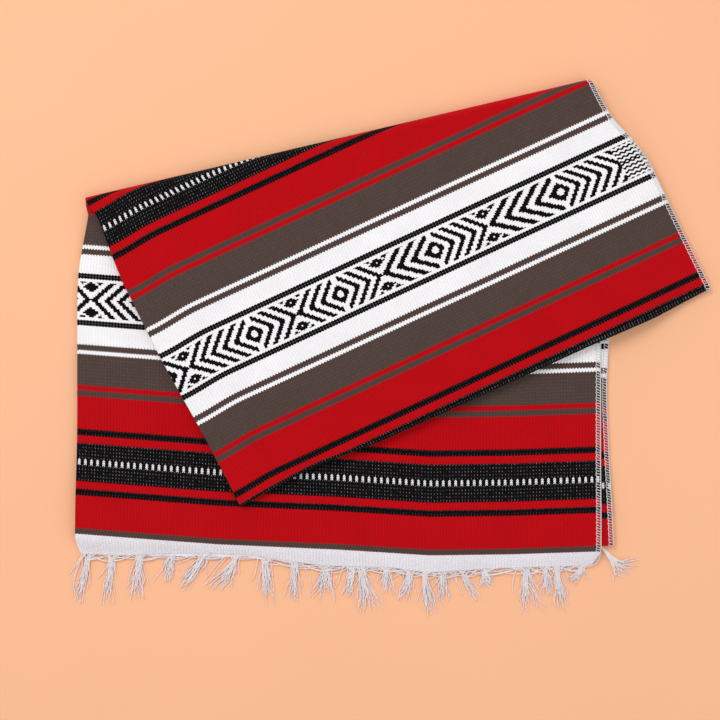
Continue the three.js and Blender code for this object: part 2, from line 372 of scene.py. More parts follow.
@dataclass
class Strip:
    """A folded strip of cloth that follows the slanting fold."""

    section: Section
    is_upper: bool
    seam_share: float = 0.9
    flap_seam_share: float = 0.12
    swell_height: float = 1.1
    roll_height: float = 1.3
    roll_close: float = 0.8
    end_overlap: float = 8.0
    rows: dict[Zone, list[tuple[Array, Array]]] = field(default_factory=dict)

    # -- Height and pattern on the base

    def lift(self, plan: Array) -> Array:
        """How far the strip is raised over what is tucked under it."""
        offset = plan[:, 1] - LAYOUT.plain_end(plan[:, 0])
        rise = LAYOUT.layer * (1 - smooth((offset - LAYOUT.tuck_end) / LAYOUT.ramp))
        if not self.is_upper:
            return rise
        end = LAYOUT.end_edge(plan[:, 0]) - LAYOUT.plain_end(plan[:, 0])
        share = smooth((offset - end) / (LAYOUT.drape - end))
        return rise * share - LAYOUT.layer * (1 - share)

    def base_pattern(self, plan: Array) -> Array:
        """Distance along the cloth, for a place on the base."""
        top = plan[:, 1] - LAYOUT.heading_top(plan[:, 0]) + LAYOUT.heading
        if self.is_upper:
            return top
        far = LAYOUT.cloth_length - top - self.end_overlap
        fold = LAYOUT.fold_line(LAYOUT.inset)
        distance = (fold(plan[:, 0]) - plan[:, 1]) * math.cos(LAYOUT.slant)
        near = self.fold_pattern(plan[:, 0]) + 30.0 + distance
        return near + (far - near) * smooth((distance - 60) / 140)

    def fold_pattern(self, x: Array) -> Array:
        """Distance along the cloth of the lower strip at the slanting fold, on the flap's side."""
        return self.end_pattern(x) + LAYOUT.flap_line(x) - LAYOUT.fold_line(-LAYOUT.inset)(x)

    @staticmethod
    def end_pattern(x: Array) -> Array:
        """Distance along the cloth at the flap's end fold."""
        return 919 + 5 * smooth((65 - x) / 65)

    # -- Stations

    def flared(self, plan: Array, u: Array) -> Array:
        """Let the lower strip's right edge stray outwards towards its end."""
        if self.is_upper:
            return plan
        moved = plan.copy()
        share = np.clip((-247 - plan[:, 1]) / 177, 0, 1)
        stray = smooth((-140 - plan[:, 1]) / 100) * (8 * share - 4)
        moved[:, 0] += stray * np.clip(u / 650, 0, 1) ** 6
        return moved

    def base_row(self, line: Line, curl: float = 0.0) -> Callable:
        """A row that lies on the base, along a line.

        Args:
            line: The line, as y of x.
            curl: How far the under ply shows past the top one here, as a share.

        Returns:
            The row's placing function.
        """

        def place(u: Array, z: Array, width: Array) -> Pair:
            """Place the section's points."""
            plan = self.flared(LAYOUT.on_line(u, line, self.is_upper), u)
            pattern = self.base_pattern(plan)
            if curl:
                stray = curl * (1.0 + 3.6 * np.exp(-(((plan[:, 0] - 145) / 60) ** 2)))
                plan[:, 1] -= np.where(width < -2.2, stray, 0.0)
                plan[:, 0] += 5.0 * curl ** 2 * smooth((40 - plan[:, 0]) / 50)
                plan[:, 0] -= 11.0 * curl ** 1.2 * smooth((plan[:, 0] - 590) / 38)
            height = z + self.lift(plan) + self.relief(plan) + self.roll(curl, width, z)
            return np.column_stack([plan, height]), pattern

        return place

    @staticmethod
    def relief(plan: Array) -> Array:
        """Gentle swells of the whole stack, which end before the slanting fold."""
        x, y = plan[:, 0], plan[:, 1]
        distance = -(plan @ LAYOUT.across)
        swell = 0.7 + 0.45 * np.sin(x / 71 + 0.8) * np.cos(y / 93 + 0.3)
        swell = swell + 0.3 * np.sin((x + 1.7 * y) / 118)
        edge = smooth((x + 12) / 50) * smooth((665 - x) / 50)
        return Strip.swell_height * np.clip(swell, 0, None) * edge * smooth((distance - 45) / 70)

    def roll(self, curl: float, width: Array, z: Array) -> Array:
        """How much the heading's top ply swells and then closes in towards its end."""
        middle = self.section.bottom + LAYOUT.strip / 2
        swell = self.roll_height * math.sin(math.pi * curl) - self.roll_close * curl ** 4
        is_top_face = (z > middle + 1.2) & (width > 2.2)
        return np.where(is_top_face, swell, 0.0)

    def tucked_row(self, offset: float) -> Callable:
        """A row of the end that is turned under, lying on the table."""

        def place(u: Array, z: Array, width: Array) -> Pair:
            """Place the section's points."""
            plan = LAYOUT.on_line(u, lambda x: LAYOUT.plain_end(x) + offset, self.is_upper)
            plan = self.flared(plan, u)
            turned = offset - LAYOUT.tuck_turn
            pattern = np.full(len(u), LAYOUT.cloth_length - LAYOUT.tuck + turned)
            return np.column_stack([plan, LAYOUT.strip - z]), pattern

        return place

    def tuck_turn_row(self, angle: float) -> Callable:
        """A row of the turn at the lower strip's end."""

        def place(u: Array, z: Array, width: Array) -> Pair:
            """Place the section's points."""
            plan = LAYOUT.on_line(u, lambda x: LAYOUT.plain_end(x) + LAYOUT.tuck_turn, self.is_upper)
            plan = self.flared(plan, u)
            radius = z + LAYOUT.layer - LAYOUT.pivot
            plan[:, 1] -= radius * math.sin(angle)
            height = LAYOUT.pivot + radius * math.cos(angle)
            return np.column_stack([plan, height]), self.base_pattern(plan) + radius * angle * 0.5

        return place

    def fold_row(self, angle: float, side: int) -> Callable:
        """A row on the slanting fold.

        Args:
            angle: How far the row has turned up, in radians.
            side: -1 on the base's half, 1 on the flap's half.

        Returns:
            The row's placing function.
        """

        def place(u: Array, z: Array, width: Array) -> Pair:
            """Place the section's points."""
            start = LAYOUT.on_line(u, LAYOUT.fold_line(-side * LAYOUT.inset), self.is_upper)
            radius = (LAYOUT.fold_height - z)[:, None]
            plan = start - side * radius * math.sin(angle) * LAYOUT.across
            slide = LAYOUT.inset * math.tan(LAYOUT.slant) * angle / (math.pi / 2)
            plan = plan - side * slide * LAYOUT.along
            lowest = LAYOUT.fold_height - 0.15 - 0.12 * radius[:, 0]
            height = np.minimum(LAYOUT.fold_height - radius[:, 0] * math.cos(angle), lowest)
            arc = radius[:, 0] * angle
            pattern = self.turn_pattern(start, arc, radius[:, 0], side)
            return self.laid(np.column_stack([plan, height]), side), pattern

        return place

    def turn_pattern(
        self, start: Array, arc: Array, radius: Array, side: int
    ) -> Array:
        """Distance along the cloth inside the slanting fold."""
        whole = math.pi * radius + 2 * (LAYOUT.inset - radius)
        if self.is_upper:
            first = self.base_pattern(start if side < 0 else self.across_fold(start))
            return first + (arc if side < 0 else whole - arc)
        first = self.fold_pattern(start[:, 0])
        return first + (whole - arc if side < 0 else arc)

    @staticmethod
    def across_fold(start: Array) -> Array:
        """The matching place on the base for a place where the flap starts."""
        moved = start.copy()
        moved[:, 1] -= 2 * LAYOUT.inset / math.cos(LAYOUT.slant)
        return moved

    def flap_row(self, share: float, inset: float) -> Callable:
        """A row of the flap, at a share of the way to its end fold."""

        def place(u: Array, z: Array, width: Array) -> Pair:
            """Place the section's points."""
            first = LAYOUT.on_line(u, LAYOUT.fold_line(-LAYOUT.inset), self.is_upper)
            last = LAYOUT.on_line(u, LAYOUT.flap_end(inset), self.is_upper)
            y = first[:, 1] + (last[:, 1] - first[:, 1]) * share
            distance = -LAYOUT.along[0] * y + LAYOUT.along[1] * u
            x = LAYOUT.widthwise(u, distance, self.is_upper)
            points = np.column_stack([x, y, z])
            if self.is_upper:
                radius = LAYOUT.fold_height - z
                begin = self.turn_pattern(first, np.zeros(len(u)), radius, 1)
                pattern = begin + (self.end_pattern(x) - begin) * share
            else:
                pattern = self.end_pattern(x) + LAYOUT.flap_line(x) - y
            return self.laid(points, 1), pattern

        return place

    def end_turn_row(self, angle: float) -> Callable:
        """A row of the turn at the flap's end."""

        def place(u: Array, z: Array, width: Array) -> Pair:
            """Place the section's points."""
            plan = LAYOUT.on_line(u, LAYOUT.flap_end(LAYOUT.pivot), self.is_upper)
            radius = LAYOUT.pivot - z
            pattern = self.end_pattern(plan[:, 0]) + LAYOUT.pivot - radius * angle
            plan[:, 1] += radius * math.sin(angle)
            height = LAYOUT.pivot - radius * math.cos(angle)
            return self.laid(np.column_stack([plan, height]), 1), pattern

        return place

    @staticmethod
    def laid(points: Array, side: int) -> Array:
        """Turn a point of the open flap over onto the base; base points stay."""
        if side < 0:
            return points
        corner = LAYOUT.on_line(np.zeros(1), LAYOUT.flap_end(0), False)[0]
        tilt = math.atan(LAYOUT.layer / abs(float(corner @ LAYOUT.across)))
        angle = math.pi - tilt
        along = points[:, :2] @ LAYOUT.along
        out = points[:, :2] @ LAYOUT.across
        up = points[:, 2] - LAYOUT.fold_height
        turned = out * math.cos(angle) - up * math.sin(angle)
        height = out * math.sin(angle) + up * math.cos(angle) + LAYOUT.fold_height
        plan = along[:, None] * LAYOUT.along + turned[:, None] * LAYOUT.across
        distance = -turned
        over = smooth((plan[:, 0] - 657) / 85) * smooth((distance - 45) / 70)
        drop = (8.7 + distance * math.sin(tilt)) * over
        relief = Strip.relief(plan) * (1 - over)
        return np.column_stack([plan, height - drop + relief])

    @staticmethod
    def between(first: Line, last: Line, share: float) -> Line:
        """The line at a share of the way from one line to another."""
        return lambda x: first(x) + share * (last(x) - first(x))

    def stations(self) -> list[Station]:
        """All the strip's rows, from the fringed or tucked end to the flap's end."""
        rows: list[Station] = []
        inset_line = LAYOUT.fold_line(LAYOUT.inset)
        if self.is_upper:
            for share in np.linspace(0, 1, 9):
                line = self.between(LAYOUT.end_edge, LAYOUT.heading_top, float(share))
                rows.append(Station(self.base_row(line, 1 - float(share)), Zone.HEADING))
            first: Line = LAYOUT.heading_top
            near, rest = np.linspace(0, 0.12, 9), np.linspace(0.12, self.seam_share, 52)[1:]
            shares = np.concatenate([near, rest])
        else:
            for offset in np.linspace(LAYOUT.tuck_end, LAYOUT.tuck_end - LAYOUT.heading, 4):
                rows.append(Station(self.tucked_row(float(offset)), Zone.HEADING))
            rows.append(Station(self.tucked_row(LAYOUT.tuck_end - LAYOUT.heading), Zone.BASE))
            for angle in np.linspace(math.pi, 0, 11):
                rows.append(Station(self.tuck_turn_row(float(angle)), Zone.BASE))
            first = lambda x: LAYOUT.plain_end(x) + LAYOUT.tuck_turn + 2
            shares = np.linspace(0, self.seam_share, 56)
        for zone, zone_shares in (
            (Zone.BASE, shares),
            (Zone.FOLD, np.linspace(self.seam_share, 1, 7)[:-1]),
        ):
            for share in zone_shares:
                rows.append(Station(self.base_row(self.between(first, inset_line, share)), zone))
        turn = np.linspace(0, math.pi / 2, 11)
        for side, angles in ((-1, turn), (1, turn[::-1])):
            rows.extend(Station(self.fold_row(float(angle), side), Zone.FOLD) for angle in angles)
        inset = LAYOUT.pivot + (LAYOUT.clearance if self.is_upper else 0)
        for share in np.linspace(0, self.flap_seam_share, 7)[1:]:
            rows.append(Station(self.flap_row(float(share), inset), Zone.FOLD))
        for share in np.linspace(self.flap_seam_share, 1, 40):
            rows.append(Station(self.flap_row(float(share), inset), Zone.FLAP))
        if not self.is_upper:
            for angle in np.linspace(0, math.pi, 13)[1:]:
                rows.append(Station(self.end_turn_row(float(angle)), Zone.FLAP))
        return rows

    def run(self) -> None:
        """Place every row of the strip and sort the rows by zone."""
        inner, outer = self.section.points()
        ring = np.concatenate([outer, inner[::-1]])
        for station in self.stations():
            points, pattern = station.place(ring[:, 0].copy(), ring[:, 1].copy(), ring[:, 2])
            weave = np.column_stack([ring[:, 2], pattern]) * MM
            self.rows.setdefault(station.zone, []).append((to_frame(points), weave))

    def edge_path(self, is_flap: bool, ply: Ply) -> tuple[Array, Array, Array]:
        """The overlocked edge of one ply, on one side of the slanting fold.

        Args:
            is_flap: Whether it is the flap's side.
            ply: Which ply.

        Returns:
            Points on the edge at the middle of the ply, matching points further in, and the
            direction out of the ply's outer face.
        """
        _, outer = self.section.points()
        count = len(outer)
        edge, inward = (count - 1, count - 4) if ply is Ply.TOP else (0, 3)
        fold = self.rows[Zone.FOLD]
        middle = len(fold) // 2
        if is_flap:
            rows = fold[middle:] + self.rows[Zone.FLAP]
        else:
            rows = self.rows[Zone.HEADING][:-1] + self.rows[Zone.BASE] + fold[:middle]
        places = [points for points, _ in rows]
        tip = np.array([(p[edge] + p[2 * count - 1 - edge]) / 2 for p in places])
        root = np.array([(p[inward] + p[2 * count - 1 - inward]) / 2 for p in places])
        face = np.array([p[inward] - p[2 * count - 1 - inward] for p in places])
        return tip, root, face / np.linalg.norm(face, axis=1)[:, None]


# ---- Meshes -------------------------------------------------------------------------------------


def link(name: str, mesh: bpy.types.Mesh) -> bpy.types.Object:
    """Put a mesh in the scene under a name."""
    piece = bpy.data.objects.new(name, mesh)
    bpy.context.scene.collection.objects.link(piece)
    return piece


def sweep_mesh(name: str, runs: Sequence[list[tuple[Array, Array]]]) -> bpy.types.Mesh:
    """Skin rows of closed rings into one mesh of closed shells, with the weave as its UV map.

    Args:
        name: The mesh's name.
        runs: For each shell, its rows of points and weave places.

    Returns:
        The mesh, with its faces pointing outwards.
    """
    points, weave, faces, caps = [], [], [], []
    for rows in runs:
        base = sum(len(block) for block in points)
        size = len(rows[0][0])
        half = size // 2
        for place, pattern in rows:
            points.append(place)
            weave.append(pattern)
        index = base + np.arange(len(rows) * size).reshape(len(rows), size)
        following = np.roll(index, -1, axis=1)
        grid = np.stack([index[:-1], following[:-1], following[1:], index[1:]], axis=-1)
        faces.append(grid.reshape(-1, 4))
        for row in (index[0], index[-1]):
            back = row[::-1]
            cap = np.stack([row[: half - 1], row[1:half], back[1:half], back[: half - 1]], axis=-1)
            caps.append(cap)
    vertices = np.concatenate(points)
    quads = np.concatenate(faces + caps)
    smooth_count = sum(len(block) for block in faces)
    mesh = bpy.data.meshes.new(name)
    mesh.from_pydata(vertices.tolist(), [], quads.tolist())
    layer = mesh.uv_layers.new(name="weave")
    corners = np.empty(len(mesh.loops), np.int32)
    mesh.loops.foreach_get("vertex_index", corners)
    layer.data.foreach_set("uv", np.concatenate(weave)[corners].astype(np.float32).ravel())
    flags = np.zeros(len(quads), bool)
    flags[:smooth_count] = True
    mesh.polygons.foreach_set("use_smooth", flags)
    shell = bmesh.new()
    shell.from_mesh(mesh)
    bmesh.ops.recalc_face_normals(shell, faces=shell.faces)
    for edge in shell.edges:
        if len(edge.link_faces) == 2 and edge.link_faces[0].smooth != edge.link_faces[1].smooth:
            edge.smooth = False
    shell.to_mesh(mesh)
    shell.free()
    return mesh


# ---- Shader building ----------------------------------------------------------------------------


class Value:
    """A number that a node works out, which can be used in sums like any other number."""

    def __init__(self, graph: "Graph", socket: bpy.types.NodeSocket) -> None:
        """Hold the socket that the number comes from."""
        self.graph = graph
        self.socket = socket

    def __add__(self, other: object) -> "Value":
        """The sum."""
        return self.graph.math("ADD", self, other)

    def __radd__(self, other: float) -> "Value":
        """The sum with a plain number first."""
        return self.graph.math("ADD", other, self)

    def __sub__(self, other: object) -> "Value":
        """The difference."""
        return self.graph.math("SUBTRACT", self, other)

    def __rsub__(self, other: float) -> "Value":
        """The difference with a plain number first."""
        return self.graph.math("SUBTRACT", other, self)

    def __mul__(self, other: object) -> "Value":
        """The product."""
        return self.graph.math("MULTIPLY", self, other)

    def __truediv__(self, other: object) -> "Value":
        """The quotient."""
        return self.graph.math("DIVIDE", self, other)

    def __lt__(self, other: object) -> "Value":
        """1 where this is the lower number."""
        return self.graph.math("LESS_THAN", self, other)

    def __gt__(self, other: object) -> "Value":
        """1 where this is the higher number."""
        return self.graph.math("GREATER_THAN", self, other)

    def __abs__(self) -> "Value":
        """The number without its sign."""
        return self.graph.math("ABSOLUTE", self)


class Graph:
    """A short way to write out the nodes of a shader or a geometry tree."""

    def __init__(self, tree: bpy.types.NodeTree) -> None:
        """Hold the tree that nodes are added to."""
        self.tree = tree

    def feed(self, socket: bpy.types.NodeSocket, value: object) -> None:
        """Give a socket a link or a plain value."""
        source = value.socket if isinstance(value, Value) else value
        if isinstance(source, bpy.types.NodeSocket):
            self.tree.links.new(source, socket)
        elif source is not None:
            socket.default_value = source

    def fed(self, kind: str, inputs: dict[object, object], **settings: object) -> bpy.types.Node:
        """Add a node, set its properties and feed its inputs by name or place."""
        made = self.tree.nodes.new(kind)
        for key, value in settings.items():
            setattr(made, key, value)
        for key, value in inputs.items():
            self.feed(made.inputs[key], value)
        return made

    def math(self, operation: str, *values: object) -> Value:
        """One arithmetic step on sockets or numbers."""
        made = self.fed("ShaderNodeMath", dict(enumerate(values)), operation=operation)
        return Value(self, made.outputs[0])

    def within(self, value: Value, centre: float, half: object) -> Value:
        """1 where a value lies within a distance of a centre."""
        return abs(value - centre) < half

    def spread(
        self, value: object, low: float, high: float, first: float = 0.0, last: float = 1.0
    ) -> Value:
        """Map a value from one range to another, held at the ends."""
        values = dict(enumerate((value, low, high, first, last)))
        return Value(self, self.fed("ShaderNodeMapRange", values).outputs[0])

    def mix(self, share: object, first: object, second: object, blend: str = "MIX") -> object:
        """Mix two colours."""
        values = {0: share, 6: first, 7: second}
        return self.fed("ShaderNodeMix", values, data_type="RGBA", blend_type=blend).outputs[2]

    def ramp(self, value: object, stops: Sequence[tuple[float, Colour]], stepped: bool) -> object:
        """A colour for each value, in steps or eased in straight lines."""
        made = self.fed("ShaderNodeValToRGB", {0: value})
        made.color_ramp.interpolation = "CONSTANT" if stepped else "LINEAR"
        ordered = sorted(stops, key=lambda stop: stop[0])
        elements = made.color_ramp.elements
        elements[0].position, elements[1].position = ordered[0][0], ordered[-1][0]
        for place, _ in ordered[1:-1]:
            elements.new(place)
        for element, (_, colour) in zip(elements, ordered):
            element.color = colour
        return made.outputs[0]

    def parts(self, kind: str, whole: object) -> list[Value]:
        """The three parts of a vector or a colour, by the kind of node that parts it."""
        return [Value(self, socket) for socket in self.fed(kind, {0: whole}).outputs]

    def join(self, x: object, y: object, z: object = 0.0) -> object:
        """A vector from three parts."""
        return self.fed("ShaderNodeCombineXYZ", {0: x, 1: y, 2: z}).outputs[0]

    def bump(self, height: object, depth: float) -> object:
        """A surface direction raised by a height."""
        values = {"Strength": 1.0, "Distance": depth, "Height": height}
        return self.fed("ShaderNodeBump", values).outputs[0]

    def noise(self, vector: object, scale: float, detail: float = 2.0) -> Value:
        """A soft random value over a vector."""
        values = {"Vector": vector, "Scale": scale, "Detail": detail}
        return Value(self, self.fed("ShaderNodeTexNoise", values).outputs[0])

    def group(self, tree: bpy.types.NodeTree, **values: object) -> dict[str, Value]:
        """Place a node group, feed its inputs by name, and return its outputs by name."""
        made = self.fed("ShaderNodeGroup", {}, node_tree=tree)
        for key, value in values.items():
            self.feed(made.inputs[key], value)
        return {socket.name: Value(self, socket) for socket in made.outputs}


def new_group(
    name: str, inputs: Sequence[tuple[str, str, object]], outputs: Sequence[tuple[str, str]]
) -> tuple:
    """Start a shader node group.

    Args:
        name: The group's name.
        inputs: Name, socket kind and plain value of each input.
        outputs: Name and socket kind of each output.

    Returns:
        A graph that writes in the group, its inputs by name, and its output node.
    """
    tree = bpy.data.node_groups.new(name, "ShaderNodeTree")
    for label, kind, value in inputs:
        socket = tree.interface.new_socket(name=label, in_out="INPUT", socket_type=kind)
        if value is not None:
            socket.default_value = value
    for label, kind in outputs:
        tree.interface.new_socket(name=label, in_out="OUTPUT", socket_type=kind)
    graph = Graph(tree)
    given = graph.fed("NodeGroupInput", {})
    asked = {socket.name: Value(graph, socket) for socket in given.outputs if socket.name}
    return graph, asked, graph.fed("NodeGroupOutput", {})


def weave_group() -> bpy.types.NodeTree:
    """Ribs and picks of a thick weave, for the cloth and its heading, with a mask of the valleys between
    the ribs for painted shade.
    """
    vector, number = "NodeSocketVector", "NodeSocketFloat"
    graph, asked, made = new_group(
        "weave",
        [("Place", vector, None), ("Rib", number, 3.76 * MM), ("Pick", number, 2.08 * MM),
         ("Slope", number, 0.5)],
        [("Height", number), ("Valley Shade", number)],
    )
    u, v, _ = graph.parts("ShaderNodeSeparateXYZ", asked["Place"])
    across = u / asked["Rib"]
    share = graph.math("FRACT", across) - 0.5
    crown = graph.math("POWER", graph.math("MAXIMUM", 1.0 - share * share * 4.0, 0.0), 0.6)
    shift = graph.math("MODULO", graph.math("FLOOR", across), 2.0) * 0.5
    along = v / asked["Pick"] + (abs(share) * asked["Slope"] + shift)
    wave = graph.math("COSINE", along * (2 * math.pi)) * 0.28
    height = crown * (wave + 0.72)
    graph.feed(made.inputs["Height"], height)
    # The valley mask is 1 deep between the ribs and 0 on their crowns; the finishes darken their colour
    # by it as painted shade.
    graph.feed(made.inputs["Valley Shade"], graph.spread(height, 0.0, 0.62, 1.0, 0.0))
    return graph.tree


def fibre_group() -> bpy.types.NodeTree:
    """Loose fibre and uneven dye, for every finish."""
    vector, number, colour = "NodeSocketVector", "NodeSocketFloat", "NodeSocketColor"
    graph, asked, made = new_group(
        "fibre",
        [("Place", vector, None), ("Colour", colour, (1, 1, 1, 1)), ("Amount", number, 0.1)],
        [("Colour", colour), ("Fuzz", number)],
    )
    fine = graph.noise(asked["Place"], 900.0, 3.0)
    broad = graph.noise(asked["Place"], 22.0, 3.0)
    signed = fine * 0.65 + broad * 0.35 - 0.5
    level = 1.0 + signed * (asked["Amount"] * 4.0)
    shade = graph.join(level, level, level)
    graph.feed(made.inputs["Colour"], graph.mix(1.0, asked["Colour"], shade, "MULTIPLY"))
    graph.feed(made.inputs["Fuzz"], fine)
    return graph.tree


@dataclass(frozen=True)
class Groups:
    """The node groups that the finishes share."""

    weave: bpy.types.NodeTree
    fibre: bpy.types.NodeTree


def blank_material(
    name: str, roughness: float, sheen: float
) -> tuple[bpy.types.Material, Graph, bpy.types.Node]:
    """A material with its main shader set up.

    Args:
        name: The material's name.
        roughness: How matt it is.
        sheen: How much loose fibre glows at a glancing view.

    Returns:
        The material, its graph and its shader node.
    """
    material = bpy.data.materials.new(name)
    material.use_nodes = True
    shader = material.node_tree.nodes["Principled BSDF"]
    shader.inputs["Roughness"].default_value = roughness
    shader.inputs["Sheen Weight"].default_value = sheen
    shader.inputs["Sheen Roughness"].default_value = 0.6
    shader.inputs["Specular IOR Level"].default_value = 0.06
    return material, Graph(material.node_tree), shader


@dataclass(frozen=True)
class StripedCloth:
    """Thick weft-faced cloth with stripes and bands of pointed figures."""

    groups: Groups
    red: Colour = paint(195, 3, 16)
    black: Colour = paint(9, 6, 9)
    taupe: Colour = paint(84, 67, 62)
    white: Colour = paint(253, 252, 255)
    rib: float = 3.76 * MM
    pick: float = 2.08 * MM
    period: float = 396.9 * MM
    first_dash: float = 110.0 * MM
    chevron: float = 14.9 * MM
    figure_reach: float = 18.0
    wavy_pitch: float = 5.2 * MM
    chain_place: float = 28.6 * MM
    figure_middle: float = 15.6 * MM
    wavy_from: float = 613.0 * MM

    def stripes(self) -> list[tuple[float, Colour]]:
        """Stripe colours by distance from the middle of a dashed stripe, as a share of half a period."""
        edges = [
            (0.0, self.black), (23.0, self.red), (31.9, self.black), (39.6, self.red),
            (80.6, self.taupe), (87.4, self.red), (93.4, self.taupe), (131.2, self.white),
            (136.3, self.taupe), (143.1, self.white),
        ]
        half = self.period / MM / 2
        return [(edge / half, colour) for edge, colour in edges]

    @staticmethod
    def figures(reach: float) -> list[tuple[float, Colour]]:
        """Chevron count and nearness to a figure, by place across the cloth.

        Args:
            reach: Distance at which a figure stops counting as near, in millimetres.

        Returns:
            Stops by share of the cloth's width. Red holds the count plus 1, over 8. Green holds the
            nearness to a crossing and blue the nearness to a diamond.
        """
        crossings = [24.4, 173.4, 288.9, 432.2]
        diamonds = [116.0, 232.6, 361.0, 530.6]
        knots = [
            (0.0, 3.9), (24.4, 5.5), (116.0, -0.36), (173.4, 3.5), (232.6, -0.36), (288.9, 3.5),
            (361.0, -0.36), (432.2, 4.5), (530.6, -0.36), (608.0, 4.9), (640.0, 6.9),
        ]
        width = knots[-1][0]
        places = {place for place, _ in knots}
        for centre in crossings + diamonds:
            places.update((centre - reach, centre + reach))
        stops = []
        for place in sorted(places):
            count = float(np.interp(place, [k[0] for k in knots], [k[1] for k in knots]))
            gaps = [min(abs(place - centre) for centre in group) for group in (crossings, diamonds)]
            near = [max(0.0, 1 - gap / reach) for gap in gaps]
            stops.append((place / width, ((count + 1) / 8, near[0], near[1], 1.0)))
        return stops

    def build(self) -> bpy.types.Material:
        """Make the material."""
        material, graph, shader = blank_material(Slot.CLOTH.value, 0.92, 0.04)
        place = graph.fed("ShaderNodeUVMap", {}, uv_map="weave").outputs[0]
        u, v, _ = graph.parts("ShaderNodeSeparateXYZ", place)
        weave = graph.group(self.groups.weave, Place=place, Rib=self.rib, Pick=self.pick, Slope=0.5)
        scalloped = v + (self.ripple(graph, u) - 0.6) * (1.7 * MM)
        distance = self.distance(graph, scalloped)
        colour = graph.ramp(distance / (self.period / 2), self.stripes(), True)
        colour = self.dashes(graph, colour, u, distance)
        colour = self.specks(graph, colour, u, distance)
        colour = self.band(graph, colour, u, v)
        colour = graph.mix(scalloped < LAYOUT.heading * MM, colour, self.white)
        # Painted shade: the colour is darkened towards (0.5, 0.46, 0.5) in the valleys between the ribs,
        # and less where its green is high, so the white stripes are barely shaded.
        _, green, _ = graph.parts("ShaderNodeSeparateColor", colour)
        valley_shade = weave["Valley Shade"] * (0.55 - green * 0.45)
        colour = graph.mix(valley_shade, colour, graph.mix(1.0, colour, (0.5, 0.46, 0.5, 1), "MULTIPLY"))
        fibre = graph.group(self.groups.fibre, Place=place, Colour=colour, Amount=0.14)
        graph.feed(shader.inputs["Base Color"], fibre["Colour"])
        relief = weave["Height"] + fibre["Fuzz"] * 0.35
        graph.feed(shader.inputs["Normal"], graph.bump(relief, 0.6 * MM))
        return material

    def ripple(self, graph: Graph, u: Value) -> Value:
        """0 between two ribs and 1 on the crown of one."""
        return abs(graph.math("SINE", u * (math.pi / self.rib)))

    def distance(self, graph: Graph, v: Value) -> Value:
        """Distance from the nearest dashed stripe, for a distance along the cloth."""
        shifted = v + (0.5 * self.period - self.first_dash)
        return abs(graph.math("WRAP", shifted, self.period, 0.0) - self.period / 2)

    def dashes(self, graph: Graph, colour: object, u: Value, distance: Value) -> object:
        """Rows of white ticks along the middle of the dashed stripe."""
        pair = 2 * self.rib
        phase = abs(graph.math("WRAP", u, pair, 0.0) - 0.5 * pair)
        waist = graph.within(distance, 1.5 * MM, 0.45 * MM)
        tick = phase < 0.2 * pair - waist * (0.08 * pair)
        shown = tick * (distance < 3.2 * MM)
        return graph.mix(shown * (1.0 - waist * 0.55), colour, self.white)

    def specks(self, graph: Graph, colour: object, u: Value, distance: Value) -> object:
        """Faint light specks, one to a rib, where the warp shows through a dark stripe."""
        at_rib = graph.math("WRAP", u, self.rib, 0.0) < 0.2 * self.rib
        rows = graph.math("WRAP", distance, 2 * self.pick, 0.0) < 0.7 * self.pick
        dark = graph.within(distance, 13.5 * MM, 9.2 * MM)
        line = graph.within(distance, 35.7 * MM, 3.6 * MM) * 0.3
        taupe = graph.within(distance, 112.0 * MM, 19.0 * MM) * 0.3
        loose = graph.spread(graph.noise(graph.join(u, distance), 420.0, 1.0), 0.35, 0.65)
        share = at_rib * rows * (dark + line + taupe) * loose
        return graph.mix(share * 0.32, colour, self.white)

    def band(self, graph: Graph, colour: object, u: Value, v: Value) -> object:
        """The figured band with its chain lines."""
        # Heights are from the band's middle. The figures step pick by pick and rib by rib.
        snapped_v = graph.math("FLOOR", v / self.pick) * self.pick
        height = self.period / 2 - self.distance(graph, snapped_v + self.pick / 2)
        fine = self.period / 2 - self.distance(graph, v)
        run = abs(u) + (u > 0.0) * (7.8 * MM)
        lean = graph.math("FRACT", run / self.rib) * (0.55 * self.rib)
        stepped = graph.math("FLOOR", run / self.rib) * self.rib + lean
        figure = graph.ramp(stepped / 0.64, self.figures(self.figure_reach), False)
        counted, near_crossing, near_diamond = graph.parts("ShaderNodeSeparateColor", figure)
        phase = counted * 8.0 - 1.0 + height / self.chevron
        chevrons = graph.math("FRACT", phase + 1.0) < 0.5
        # At a crossing a lozenge with an eye stands in a clear moat; a diamond has a clear centre.
        away = (1.0 - near_crossing) * (self.figure_reach * MM)
        shape = away * 0.66 + abs(height - self.figure_middle)
        gap = (near_diamond > 1 - 3.4 / self.figure_reach) * (height > 14.2 * MM)
        inked = chevrons * (1.0 - gap) * (1.0 - (shape < 9.8 * MM))
        inked = graph.math("MAXIMUM", inked, (shape < 6.9 * MM) - (shape < 1.0 * MM))
        sway = graph.math("SINE", run * (math.pi / self.rib)) * 0.16
        wavy = graph.math("FRACT", fine / self.wavy_pitch + sway) < 0.5
        outer = abs(u) > self.wavy_from
        inked = inked * (1.0 - outer) + wavy * outer
        colour = graph.mix(inked * (fine < 21.8 * MM), colour, self.black)
        ripple = self.ripple(graph, u)
        chain = graph.within(fine, self.chain_place, 2.5 * MM + ripple * (1.2 * MM))
        colour = graph.mix(chain, colour, self.black)
        loop = graph.within(fine, self.chain_place, 0.7 * MM) * (ripple < 0.5)
        return graph.mix(loop * 0.14, colour, self.white)


